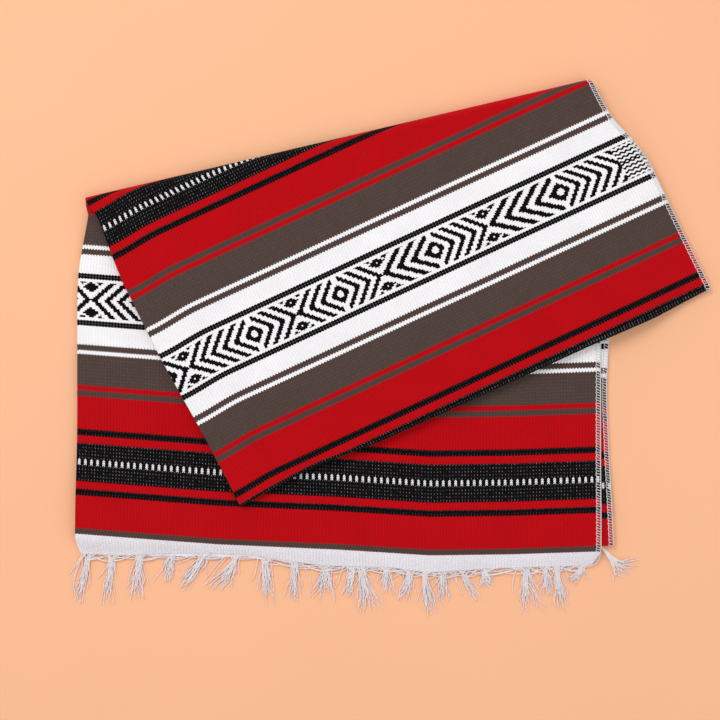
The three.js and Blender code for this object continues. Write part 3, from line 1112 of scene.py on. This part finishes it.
@dataclass(frozen=True)
class PlainFinish:
    """A white woollen finish with its own weave or twist, and painted shade in the weave's valleys."""

    groups: Groups
    slot: Slot
    colour: Colour
    rib: float
    pick: float
    amount: float = 0.1
    uses_weave_map: bool = False
    shade: float = 0.4
    depth: float = 0.3 * MM

    def build(self) -> bpy.types.Material:
        """Make the material."""
        material, graph, shader = blank_material(self.slot.value, 0.94, 0.06)
        if self.uses_weave_map:
            place = graph.fed("ShaderNodeUVMap", {}, uv_map="weave").outputs[0]
        else:
            place = graph.fed("ShaderNodeTexCoord", {}).outputs["Object"]
        weave = graph.group(self.groups.weave, Place=place, Rib=self.rib, Pick=self.pick, Slope=1.0)
        # Painted shade: the white is darkened towards grey in the valleys between the ribs, by the shade
        # share.
        painted_shade_colour = graph.mix(1.0, self.colour, (0.55, 0.52, 0.56, 1), "MULTIPLY")
        shaded = graph.mix(weave["Valley Shade"] * self.shade, self.colour, painted_shade_colour)
        fibre = graph.group(self.groups.fibre, Place=place, Colour=shaded, Amount=self.amount)
        graph.feed(shader.inputs["Base Color"], fibre["Colour"])
        graph.feed(shader.inputs["Normal"], graph.bump(weave["Height"] + fibre["Fuzz"], self.depth))
        return material


# ---- Geometry node trees ------------------------------------------------------------------------


@dataclass
class Maker:
    """A geometry node tree that turns a guide mesh into a finished one."""

    name: str
    tree: bpy.types.NodeTree

    def apply(self, piece: bpy.types.Object, values: dict[str, object]) -> bpy.types.Object:
        """Run the tree on a guide and keep the result as a plain mesh.

        Args:
            piece: The guide, which becomes the finished piece.
            values: Values of the tree's named inputs.

        Returns:
            The same object with its finished mesh.
        """
        modifier = piece.modifiers.new(self.name, "NODES")
        modifier.node_group = self.tree
        for item in self.tree.interface.items_tree:
            if item.item_type == "SOCKET" and item.in_out == "INPUT" and item.name in values:
                modifier[item.identifier] = values[item.name]
        bpy.context.view_layer.update()
        evaluated = piece.evaluated_get(bpy.context.evaluated_depsgraph_get())
        mesh = bpy.data.meshes.new_from_object(evaluated)
        piece.modifiers.remove(modifier)
        guide = piece.data
        piece.data = mesh
        mesh.name = piece.name
        bpy.data.meshes.remove(guide)
        return piece


def geometry_tree(name: str, inputs: Sequence[tuple[str, str, object]]) -> tuple:
    """Start a geometry node tree.

    Args:
        name: The tree's name.
        inputs: Name, socket kind and plain value of each input after the geometry.

    Returns:
        A graph that writes in the tree, its inputs by name, and its output node.
    """
    tree = bpy.data.node_groups.new(name, "GeometryNodeTree")
    tree.interface.new_socket(name="Geometry", in_out="INPUT", socket_type="NodeSocketGeometry")
    for label, kind, value in inputs:
        socket = tree.interface.new_socket(name=label, in_out="INPUT", socket_type=kind)
        if value is not None:
            socket.default_value = value
    tree.interface.new_socket(name="Geometry", in_out="OUTPUT", socket_type="NodeSocketGeometry")
    graph = Graph(tree)
    return graph, graph.fed("NodeGroupInput", {}).outputs, graph.fed("NodeGroupOutput", {})


def finish_tree(graph: Graph, geometry: object, material: object, made: bpy.types.Node) -> None:
    """End a tree with real geometry in its own material."""
    realize = graph.fed("GeometryNodeRealizeInstances", {"Geometry": geometry})
    rounded = graph.fed("GeometryNodeSetShadeSmooth", {"Geometry": realize.outputs[0]})
    values = {"Geometry": rounded.outputs[0], "Material": material}
    graph.feed(made.inputs[0], graph.fed("GeometryNodeSetMaterial", values).outputs[0])


def named_value(graph: Graph, name: str, kind: str) -> object:
    """A value that the guide mesh stores under a name."""
    stored = graph.fed("GeometryNodeInputNamedAttribute", {"Name": name}, data_type=kind)
    return stored.outputs["Attribute"]


def tube(graph: Graph, curve: object, sides: object, radius: object, scale: object = None) -> object:
    """A tube along a curve."""
    sizes = {"Resolution": sides, "Radius": radius}
    profile = graph.fed("GeometryNodeCurvePrimitiveCircle", sizes, mode="RADIUS")
    values = {"Curve": curve, "Profile Curve": profile.outputs[0], "Scale": scale,
              "Fill Caps": scale is not None}
    return graph.fed("GeometryNodeCurveToMesh", values).outputs[0]


def stitch_maker() -> Maker:
    """Overlock stitches: a rounded loop of thread round the edge at each guide point."""
    number = "NodeSocketFloat"
    graph, asked, made = geometry_tree(
        "overlock_stitches",
        [("Reach", number, 5.2 * MM), ("Grip", number, 2.7 * MM), ("Thread", number, 0.42 * MM),
         ("Sides", "NodeSocketInt", 4), ("Material", "NodeSocketMaterial", None)],
    )
    sizes = {"Width": asked["Reach"], "Height": asked["Grip"]}
    loop = graph.fed("GeometryNodeCurvePrimitiveQuadrilateral", sizes)
    corner = graph.math("MULTIPLY", asked["Grip"], 0.34)
    values = {"Curve": loop.outputs[0], "Count": 2, "Radius": corner}
    rounded = graph.fed("GeometryNodeFilletCurve", values, mode="POLY")
    values = {"Geometry": rounded.outputs[0], "Rotation": (math.pi / 2, 0.0, 0.0)}
    upright = graph.fed("GeometryNodeTransform", values)
    stitch = tube(graph, upright.outputs[0], asked["Sides"], asked["Thread"])
    turn = graph.fed("FunctionNodeEulerToRotation", {0: named_value(graph, "turn", "FLOAT_VECTOR")})
    points = graph.fed("GeometryNodeMeshToPoints", {"Mesh": asked["Geometry"]})
    values = {"Points": points.outputs[0], "Instance": stitch, "Rotation": turn.outputs[0]}
    scatter = graph.fed("GeometryNodeInstanceOnPoints", values)
    finish_tree(graph, scatter.outputs[0], asked["Material"], made)
    return Maker("overlock_stitches", graph.tree)


def yarn_maker() -> Maker:
    """Yarns: a round tube along each guide line, thinning as its guide says."""
    graph, asked, made = geometry_tree(
        "yarns",
        [("Yarn", "NodeSocketFloat", 0.6 * MM), ("Sides", "NodeSocketInt", 5),
         ("Material", "NodeSocketMaterial", None)],
    )
    curve = graph.fed("GeometryNodeMeshToCurve", {"Mesh": asked["Geometry"]})
    thin = named_value(graph, "thickness", "FLOAT")
    yarns = tube(graph, curve.outputs[0], asked["Sides"], asked["Yarn"], thin)
    finish_tree(graph, yarns, asked["Material"], made)
    return Maker("yarns", graph.tree)


def guide_lines(
    name: str, paths: Sequence[Sequence[Sequence[float]]], thinning: float = 0.0
) -> bpy.types.Object:
    """A guide of one line for each path.

    Args:
        name: The guide's name.
        paths: Each line's points, in metres.
        thinning: How much a line loses of its thickness towards its end, as a share.

    Returns:
        The guide object.
    """
    vertices, edges, thickness = [], [], []
    for path in paths:
        base, last = len(vertices), len(path) - 1
        vertices.extend(tuple(point) for point in path)
        edges.extend((base + k, base + k + 1) for k in range(last))
        thickness.extend(1.0 - thinning * (k / last) ** 3 for k in range(last + 1))
    mesh = bpy.data.meshes.new(name)
    mesh.from_pydata(vertices, edges, [])
    attribute = mesh.attributes.new("thickness", "FLOAT", "POINT")
    attribute.data.foreach_set("value", np.array(thickness, np.float32))
    return link(name, mesh)


def merge(piece: bpy.types.Object, other: bpy.types.Object) -> bpy.types.Object:
    """Put another object's mesh into a piece, and drop the other object."""
    joined = bmesh.new()
    joined.from_mesh(piece.data)
    joined.from_mesh(other.data)
    joined.to_mesh(piece.data)
    joined.free()
    spare = other.data
    bpy.data.objects.remove(other)
    bpy.data.meshes.remove(spare)
    return piece


# ---- Sub-assemblies -----------------------------------------------------------------------------


@dataclass
class Cloth:
    """The striped cloth in its three stretches, and the white headings at its ends."""

    upper: Strip
    lower: Strip
    cloth_finish: bpy.types.Material
    heading_finish: bpy.types.Material
    flat_width: float = 1.284
    pieces: dict[str, bpy.types.Object] = field(default_factory=dict)

    def build(self) -> None:
        """Make the meshes."""
        upper, lower = self.upper.rows, self.lower.rows
        zones = (Zone.BASE, Zone.FOLD, Zone.FLAP)
        runs = {f"{zone.value}_cloth": [upper[zone], lower[zone]] for zone in zones}
        runs["fringed_heading"] = [upper[Zone.HEADING]]
        runs["tucked_heading"] = [lower[Zone.HEADING]]
        for name, rows in runs.items():
            self.pieces[name] = link(name, sweep_mesh(name, rows))

    def dress(self) -> None:
        """Give the meshes their finishes and fix the base, flap and heading meshes to their bodies; the
        fold's mesh is only baked in place.
        """
        for name, piece in self.pieces.items():
            is_heading = name.endswith("heading")
            piece.data.materials.append(self.heading_finish if is_heading else self.cloth_finish)
        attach(self.pieces["base_cloth"], Body.BASE.value)
        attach(self.pieces["flap_cloth"], Body.FLAP.value)
        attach(self.pieces["fringed_heading"], Body.BASE.value)
        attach(self.pieces["tucked_heading"], Body.BASE.value)
        split, half_blend = LAYOUT.fold_height * MM, 0.00002
        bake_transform(self.pieces["fold_cloth"], Body.BASE.value, Body.FLAP.value,
                 start=(0, 0, split - half_blend), end=(0, 0, split + half_blend))
        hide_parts("upper_layer_cloth", "lower_layer_cloth")
        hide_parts("flap_inner_cloth", "flap_outer_cloth")
        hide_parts("upper_layer_heading")
        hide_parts("lower_layer_heading")


@dataclass
class OverlockedEdges:
    """The overlock stitches on all four plies' edges, with the looper threads that hold them."""

    upper: Strip
    lower: Strip
    stitcher: Maker
    spinner: Maker
    finish: bpy.types.Material
    pitch: float = 3.3 * MM
    slant: float = 0.42
    looper_inset: float = 4.6 * MM
    looper_rise: float = 1.25 * MM
    looper_radius: float = 0.42 * MM
    seat: float = 2.2 * MM
    unevenness: float = 0.4 * MM
    pieces: dict[Body, bpy.types.Object] = field(default_factory=dict)

    def build(self) -> None:
        """Stitch every edge, one set for each body."""
        draw = random.Random(7)
        for body in (Body.BASE, Body.FLAP):
            points: list[Vector] = []
            turns: list[Vector] = []
            threads: list[list[Vector]] = []
            for strip in (self.upper, self.lower):
                for ply in Ply:
                    self.guide(strip.edge_path(body is Body.FLAP, ply), draw, points, turns, threads)
            name = f"{body.value}_overlock"
            mesh = bpy.data.meshes.new(name)
            mesh.from_pydata([tuple(p) for p in points], [], [])
            turn = mesh.attributes.new("turn", "FLOAT_VECTOR", "POINT")
            turn.data.foreach_set("vector", np.array([tuple(t) for t in turns], np.float32).ravel())
            stitches = self.stitcher.apply(link(name, mesh), {"Material": self.finish})
            values = {"Yarn": self.looper_radius, "Sides": 4, "Material": self.finish}
            loopers = self.spinner.apply(guide_lines(f"{name}_loopers", threads), values)
            self.pieces[body] = merge(stitches, loopers)

    def guide(self, path: tuple[Array, Array, Array], draw: random.Random,
              points: list[Vector], turns: list[Vector], threads: list[list[Vector]]) -> None:
        """Step along one edge at the stitch pitch.

        Args:
            path: The edge's points, the points further in and the direction out of its outer face.
            draw: The source of small differences between stitches.
            points: Guide points, added to.
            turns: Each stitch's turn, added to.
            threads: Paths of the looper threads, added to.
        """
        tip, root, face = path
        steps = np.linalg.norm(np.diff(tip, axis=0), axis=1)
        run = np.concatenate([[0], np.cumsum(steps)])
        count = max(2, round(run[-1] / self.pitch))

        def at(rows: Array, place: float) -> Vector:
            """A value along the edge."""
            return Vector([float(np.interp(place, run, rows[:, axis])) for axis in range(3)])

        inner: list[Vector] = []
        outer: list[Vector] = []
        for index, place in enumerate((np.arange(count) + 0.5) * run[-1] / count):
            edge, inward, normal = at(tip, place), at(root, place), at(face, place).normalized()
            out = (edge - inward).normalized()
            along = out.cross(normal).normalized()
            lean = self.slant + draw.uniform(-0.25, 0.25)
            reach = (out * math.cos(lean) + along * math.sin(lean)).normalized()
            side = normal.cross(reach).normalized()
            matrix = Matrix((reach, side, normal)).transposed()
            points.append(edge - out * (self.seat + draw.uniform(-self.unevenness, self.unevenness)))
            turns.append(Vector(matrix.to_euler()))
            sway = self.unevenness * (1 if index % 2 else -1)
            inner.append(edge - out * (self.looper_inset + sway) + normal * self.looper_rise)
            outer.append(edge + out * 0.0005 + normal * (0.0006 + sway))
        threads.extend([inner, outer])

    def dress(self) -> None:
        """Fix each set of stitches to its body."""
        for body, piece in self.pieces.items():
            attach(piece, body.value)
        for layer in ("upper", "lower"):
            edges = [f"{layer}_layer_overlock_{edge}_edge" for edge in ("top", "under")]
            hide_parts(*edges)
        for layer in ("inner", "outer"):
            edges = [f"flap_{layer}_overlock_{edge}_edge" for edge in ("top", "under")]
            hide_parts(*edges)


@dataclass(frozen=True)
class Tassel:
    """A loose gathering of yarns: where it leaves the end, and how it lies, in millimetres."""

    place: float
    lean: float
    length: float
    yarns: int = 9
    spread: float = 7.0


@dataclass
class Fringe:
    """The yarns at the fringed end, at the corner, and those pressed flat under the tucked end."""

    maker: Maker
    finish: bpy.types.Material
    tassels: tuple[Tassel, ...] = (
        Tassel(0.019, -13, 61, 8, 6), Tassel(0.064, -6, 61, 7, 6), Tassel(0.119, -7, 56, 9, 13),
        Tassel(0.178, -15, 36, 7, 12), Tassel(0.240, -29, 45, 9, 9), Tassel(0.305, -26, 44, 10, 14),
        Tassel(0.362, 5, 56, 10, 16), Tassel(0.420, -3, 49, 9, 8), Tassel(0.483, -8, 43, 10, 16),
        Tassel(0.531, -6, 38, 8, 5), Tassel(0.550, 10, 56, 12, 12), Tassel(0.599, 1, 33, 8, 12),
        Tassel(0.645, -10, 40, 9, 13), Tassel(0.674, 5, 54, 10, 8), Tassel(0.709, 1, 37, 8, 9),
        Tassel(0.749, 19, 40, 7, 7), Tassel(0.789, 10, 22, 9, 12), Tassel(0.870, 6, 54, 11, 15),
        Tassel(0.909, 4, 38, 8, 8), Tassel(0.930, 2, 55, 10, 12), Tassel(0.979, -11, 22, 8, 10),
    )
    fall: Vector = field(default_factory=lambda: Vector((-0.019074, -0.999818, 0.0)))
    bend_start: float = 14 * MM
    bend_end: float = 30 * MM
    pieces: dict[str, bpy.types.Object] = field(default_factory=dict)

    def build(self) -> None:
        """Make the three sets of yarns."""
        draw = random.Random(21)
        self.pieces["fringe_yarns"] = self.tubes("fringe_yarns", self.loose_yarns(draw), 0.58)
        self.pieces["corner_yarns"] = self.tubes("corner_yarns", self.corner_yarns(draw), 0.58)
        self.pieces["tucked_yarns"] = self.tubes("tucked_yarns", self.tucked_yarns(draw), 0.55)

    def loose_yarns(self, draw: random.Random) -> list[Array]:
        """Paths of the yarns that leave the fringed end and gather into tassels."""
        paths = []
        middles = [t.place for t in self.tassels]
        for i, tassel in enumerate(self.tassels):
            before = (middles[i - 1] + tassel.place) / 2 if i else 0.004
            after = (middles[i + 1] + tassel.place) / 2 if i + 1 < len(middles) else 0.994
            fans = [draw.uniform(-1, 1) for _ in range(3)]
            count = 2 * tassel.yarns
            for j in range(count):
                share = before + (after - before) * (j + draw.uniform(0.1, 0.9)) / count
                paths.append(self.loose_yarn(tassel, share, fans[j % 3], draw))
            for _ in range(4):
                paths.append(self.stray_yarn(tassel, draw))
            if i + 1 < len(middles):
                paths.extend(self.cross_yarn(tassel, self.tassels[i + 1], draw) for _ in range(5))
        return paths

    @staticmethod
    def end_place(share: float) -> float:
        """Sideways place of a share of the way along the fringed end."""
        return share * LAYOUT.right - 8

    @staticmethod
    def edge_at(x: float) -> float:
        """Where the fringed end lies."""
        return float(LAYOUT.end_edge(np.array([x]))[0])

    @staticmethod
    def loose_yarn(tassel: Tassel, share: float, fan: float, draw: random.Random) -> Array:
        """One yarn from its root at the edge, sideways to its tassel, and on to its loose end."""
        root_x = Fringe.end_place(share)
        knot_x = Fringe.end_place(tassel.place) + draw.uniform(-3.4, 3.4)
        length = tassel.length * draw.uniform(0.62, 1.05)
        tip_x = knot_x + tassel.lean * length / tassel.length
        tip_x += (fan + draw.uniform(-0.4, 0.4)) * tassel.spread
        wobble = draw.uniform(-4.4, 4.4)
        curl = draw.uniform(-2.2, 2.2)
        phase = draw.uniform(0, math.tau)
        knot_drop = min(3 + abs(root_x - knot_x) * 0.3, 11) * draw.uniform(0.5, 1.0)
        pile = draw.uniform(0.0, 2.6)
        start = Fringe.edge_at(root_x) + 1.5
        points = []
        count = 20
        for k in range(count):
            t = k / (count - 1)
            gather = float(smooth(np.array(t / 0.22)))
            free = max(0.0, (t - 0.14) / 0.86)
            x = root_x + (knot_x - root_x) * gather + (tip_x - knot_x) * free ** 1.3
            x += (wobble * math.sin(phase + t * 4.5) + curl * math.sin(phase + t * 15)) * free
            drop = knot_drop * gather * 0.8 + (length - knot_drop * 0.8) * free
            y = start * (1 - gather) + Fringe.edge_at(x) * gather - drop
            z = 0.9 + pile * (1 - 0.6 * t) + 0.8 * abs(math.sin(phase * 3 + t * 9))
            points.append((x, y, z))
        return np.array(points)

    @staticmethod
    def stray_yarn(tassel: Tassel, draw: random.Random) -> Array:
        """A frayed yarn that curls away from its tassel."""
        root_x = Fringe.end_place(tassel.place) + draw.uniform(-9, 9)
        length = tassel.length * draw.uniform(0.35, 0.85)
        side = draw.choice((-1, 1)) * draw.uniform(6, 15)
        turn = draw.uniform(1.5, 4.5)
        phase = draw.uniform(0, math.tau)
        start = Fringe.edge_at(root_x) + 1.0
        points = []
        for k in range(18):
            t = k / 17
            x = root_x + side * (t ** 0.8) + tassel.lean * 0.6 * t + 4.6 * math.sin(phase + turn * t) * t
            y = start - length * (t - 0.28 * t ** 3 * math.sin(phase))
            y -= 1.4 * math.sin(phase + 6 * t) * t
            points.append((x, y, 0.9 + 1.8 * (1 - t) + 0.5 * math.sin(phase + 5 * t) ** 2))
        return np.array(points)

    @staticmethod
    def cross_yarn(first: Tassel, second: Tassel, draw: random.Random) -> Array:
        """A yarn that runs along the edge from one tassel to the next and hangs in it."""
        if draw.random() < 0.5:
            first, second = second, first
        from_x = Fringe.end_place(first.place) + draw.uniform(-5, 5)
        to_x = Fringe.end_place(second.place) + draw.uniform(-4, 4)
        dip = draw.uniform(2, 9)
        tail = second.length * draw.uniform(0.4, 0.95)
        lean = second.lean * draw.uniform(0.5, 1.1)
        phase = draw.uniform(0, math.tau)
        points = []
        for k in range(22):
            t = k / 21
            if t < 0.5:
                run = t / 0.5
                x = from_x + (to_x - from_x) * run
                y = Fringe.edge_at(x) + 1.2 - dip * math.sin(math.pi * 0.62 * run) - 1.2 * run
            else:
                run = (t - 0.5) / 0.5
                x = to_x + lean * run + 1.8 * math.sin(phase + 6 * run) * run
                y = Fringe.edge_at(to_x) - dip * math.sin(math.pi * 0.62) - tail * run
            z = 1.0 + 2.0 * math.sin(math.pi * min(1, t * 1.3)) ** 2 + 0.3 * math.sin(phase + 8 * t)
            points.append((x, y, z))
        return np.array(points)

    @staticmethod
    def corner_yarns(draw: random.Random) -> list[Array]:
        """Paths of the yarns of the tucked end that stray out at the right corner."""
        root = LAYOUT.on_line(np.array([LAYOUT.lower_shift + LAYOUT.width]),
                              lambda x: LAYOUT.plain_end(x) + LAYOUT.lower_inset, False)[0]
        first = [
            (42, -24), (40, -26), (36, -34), (22, -40), (20, -43), (33, -36), (-10, -26), (26, -30),
            (38, -22),
        ]
        moves = ((0, 0), (-4, 3), (-7, -2))
        ends = [(reach + dx, fall + dy) for dx, dy in moves for reach, fall in first]
        paths = []
        for reach, fall in ends:
            points = []
            tip = (reach + draw.uniform(-3, 3), fall + draw.uniform(-3, 3))
            phase, sway = draw.uniform(0, math.tau), draw.uniform(1.0, 3.4)
            for k in range(14):
                t = k / 13
                out = 16 if reach > 0 else 4.8
                x = root[0] - 6 + out * math.sin(min(1, t * 1.8) * math.pi / 2)
                x += (tip[0] - 10) * t ** 1.6
                y = root[1] + 2 - 22 * math.sin(min(1, t * 1.6) * math.pi / 2) + (tip[1] + 22) * t ** 1.5
                x += sway * math.sin(phase + 8 * t) * t
                y += sway * math.cos(phase + 6 * t) * t
                points.append((x, y, 1.2 + 2.2 * (1 - t) + draw.uniform(0, 0.8)))
            paths.append(np.array(points))
        return paths

    @staticmethod
    def tucked_yarns(draw: random.Random) -> list[Array]:
        """Paths of the yarns pressed flat under the cloth."""
        paths = []
        for k in range(96):
            x = LAYOUT.lower_shift + 12 + (LAYOUT.right - 20) * (k + draw.uniform(0.1, 0.9)) / 96
            y = float(LAYOUT.plain_end(np.array([x]))[0]) + LAYOUT.tuck_end - 1.0
            lean = draw.uniform(-9, 9)
            points = []
            for m in range(8):
                t = m / 7
                points.append((x + lean * t * t, y + 46 * t, 0.75 + 0.25 * math.sin(k + 5 * t)))
            paths.append(np.array(points))
        return paths

    def tubes(self, name: str, paths: list[Array], radius: float) -> bpy.types.Object:
        """Turn paths into yarns.

        Args:
            name: The piece's name.
            paths: Each yarn's path, in layout millimetres.
            radius: The yarns' radius in millimetres.

        Returns:
            The finished piece.
        """
        guide = guide_lines(name, [to_frame(path).tolist() for path in paths], 0.45)
        return self.maker.apply(guide, {"Yarn": radius * MM, "Material": self.finish})

    def dress(self) -> None:
        """Fix the yarns at the corner and under the tucked end to the base; the loose fringe yarns are
        only baked in place.
        """
        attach(self.pieces["corner_yarns"], Body.BASE.value)
        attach(self.pieces["tucked_yarns"], Body.BASE.value)
        hinge = joint_place("fringe_fold")
        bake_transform(self.pieces["fringe_yarns"], Body.BASE.value, Body.FRINGE.value,
                 start=tuple(hinge + self.fall * self.bend_start),
                 end=tuple(hinge + self.fall * self.bend_end))
        bundles = [name for name in frame["nodes"] if name.startswith("fringe_bundle_")]
        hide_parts(*bundles)
        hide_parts("corner_fringe_bundle")
        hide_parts("lower_layer_fringe")


@dataclass(frozen=True)
class Studio:
    """The floor, the lights and the camera."""

    floor_colour: Colour = paint(253, 192, 152)
    camera_place: tuple[float, float] = (-0.0431, -0.0202)
    camera_height: float = 2.083
    lens: float = 85.0

    def build(self) -> None:
        """Set up the scene round the object."""
        self.floor()
        self.lights()
        camera = bpy.data.cameras.new("camera")
        camera.lens = self.lens
        camera.sensor_width = 36.0
        holder = bpy.data.objects.new("camera", camera)
        holder.location = (*self.camera_place, self.camera_height)
        bpy.context.scene.collection.objects.link(holder)
        bpy.context.scene.camera = holder
        bpy.context.scene.view_settings.view_transform = "Standard"

    def floor(self) -> None:
        """A plain pale floor."""
        mesh = bpy.data.meshes.new("floor")
        size = 6.0
        corners = [(-size, -size, 0), (size, -size, 0), (size, size, 0), (-size, size, 0)]
        mesh.from_pydata(corners, [], [(0, 1, 2, 3)])
        floor = link("floor", mesh)
        material, graph, shader = blank_material("floor", 0.85, 0.0)
        place = graph.fed("ShaderNodeTexCoord", {}).outputs["Object"]
        cloudy = graph.noise(place, 3.0, 3.0)
        shade = graph.spread(cloudy, 0.3, 0.7, 0.985, 1.0)
        colour = graph.mix(1.0, self.floor_colour, graph.join(shade, shade, shade), "MULTIPLY")
        graph.feed(shader.inputs["Base Color"], colour)
        mesh.materials.append(material)

    def lights(self) -> None:
        """Soft light from above, a little from the upper left."""
        for name, place, size, power in (
            ("key_light", (-1.3, 1.7, 2.6), 1.6, 46.0),
            ("fill_light", (1.6, -1.2, 2.4), 2.4, 14.0),
        ):
            light = bpy.data.lights.new(name, "AREA")
            light.size = size
            light.energy = power
            holder = bpy.data.objects.new(name, light)
            holder.location = place
            aim = Vector((0.0, -0.05, 0.0)) - Vector(place)
            holder.rotation_euler = aim.to_track_quat("-Z", "Y").to_euler()
            bpy.context.scene.collection.objects.link(holder)
        world = bpy.data.worlds.new("studio")
        world.use_nodes = True
        world.node_tree.nodes["Background"].inputs[0].default_value = (1.0, 0.985, 0.97, 1)
        world.node_tree.nodes["Background"].inputs[1].default_value = 0.62
        bpy.context.scene.world = world


def main() -> None:
    """Build every sub-assembly in order and report each piece."""
    logging.basicConfig(level=logging.INFO, format="%(message)s")
    groups = Groups(weave_group(), fibre_group())
    cloth_finish = StripedCloth(groups).build()
    heading_finish = PlainFinish(
        groups, Slot.HEADING, paint(250, 247, 255), 3.76 * MM, 2.6 * MM, amount=0.12,
        uses_weave_map=True, shade=0.2, depth=0.8 * MM,
    ).build()
    thread_finish = PlainFinish(
        groups, Slot.THREAD, paint(252, 249, 254), 0.9 * MM, 0.9 * MM, shade=0.2
    ).build()
    yarn_finish = PlainFinish(
        groups, Slot.YARN, paint(255, 248, 251), 0.8 * MM, 1.1 * MM, shade=0.22
    ).build()
    width, step = LAYOUT.width, LAYOUT.under_step
    lower_width = width + LAYOUT.lower_step
    upper = Strip(Section(width, width + step, LAYOUT.layer, 0.0), True)
    lower = Strip(Section(lower_width, lower_width + step, 0.0, LAYOUT.lower_shift), False)
    upper.run()
    lower.run()
    cloth = Cloth(upper, lower, cloth_finish, heading_finish)
    spinner = yarn_maker()
    edges = OverlockedEdges(upper, lower, stitch_maker(), spinner, thread_finish)
    fringe = Fringe(spinner, yarn_finish)
    for part in (cloth, edges, fringe):
        part.build()
        part.dress()
        for piece in part.pieces.values():
            LOG.info("%s: %d faces", piece.name, len(piece.data.polygons))
    Studio().build()


if __name__ == "__main__":
    main()
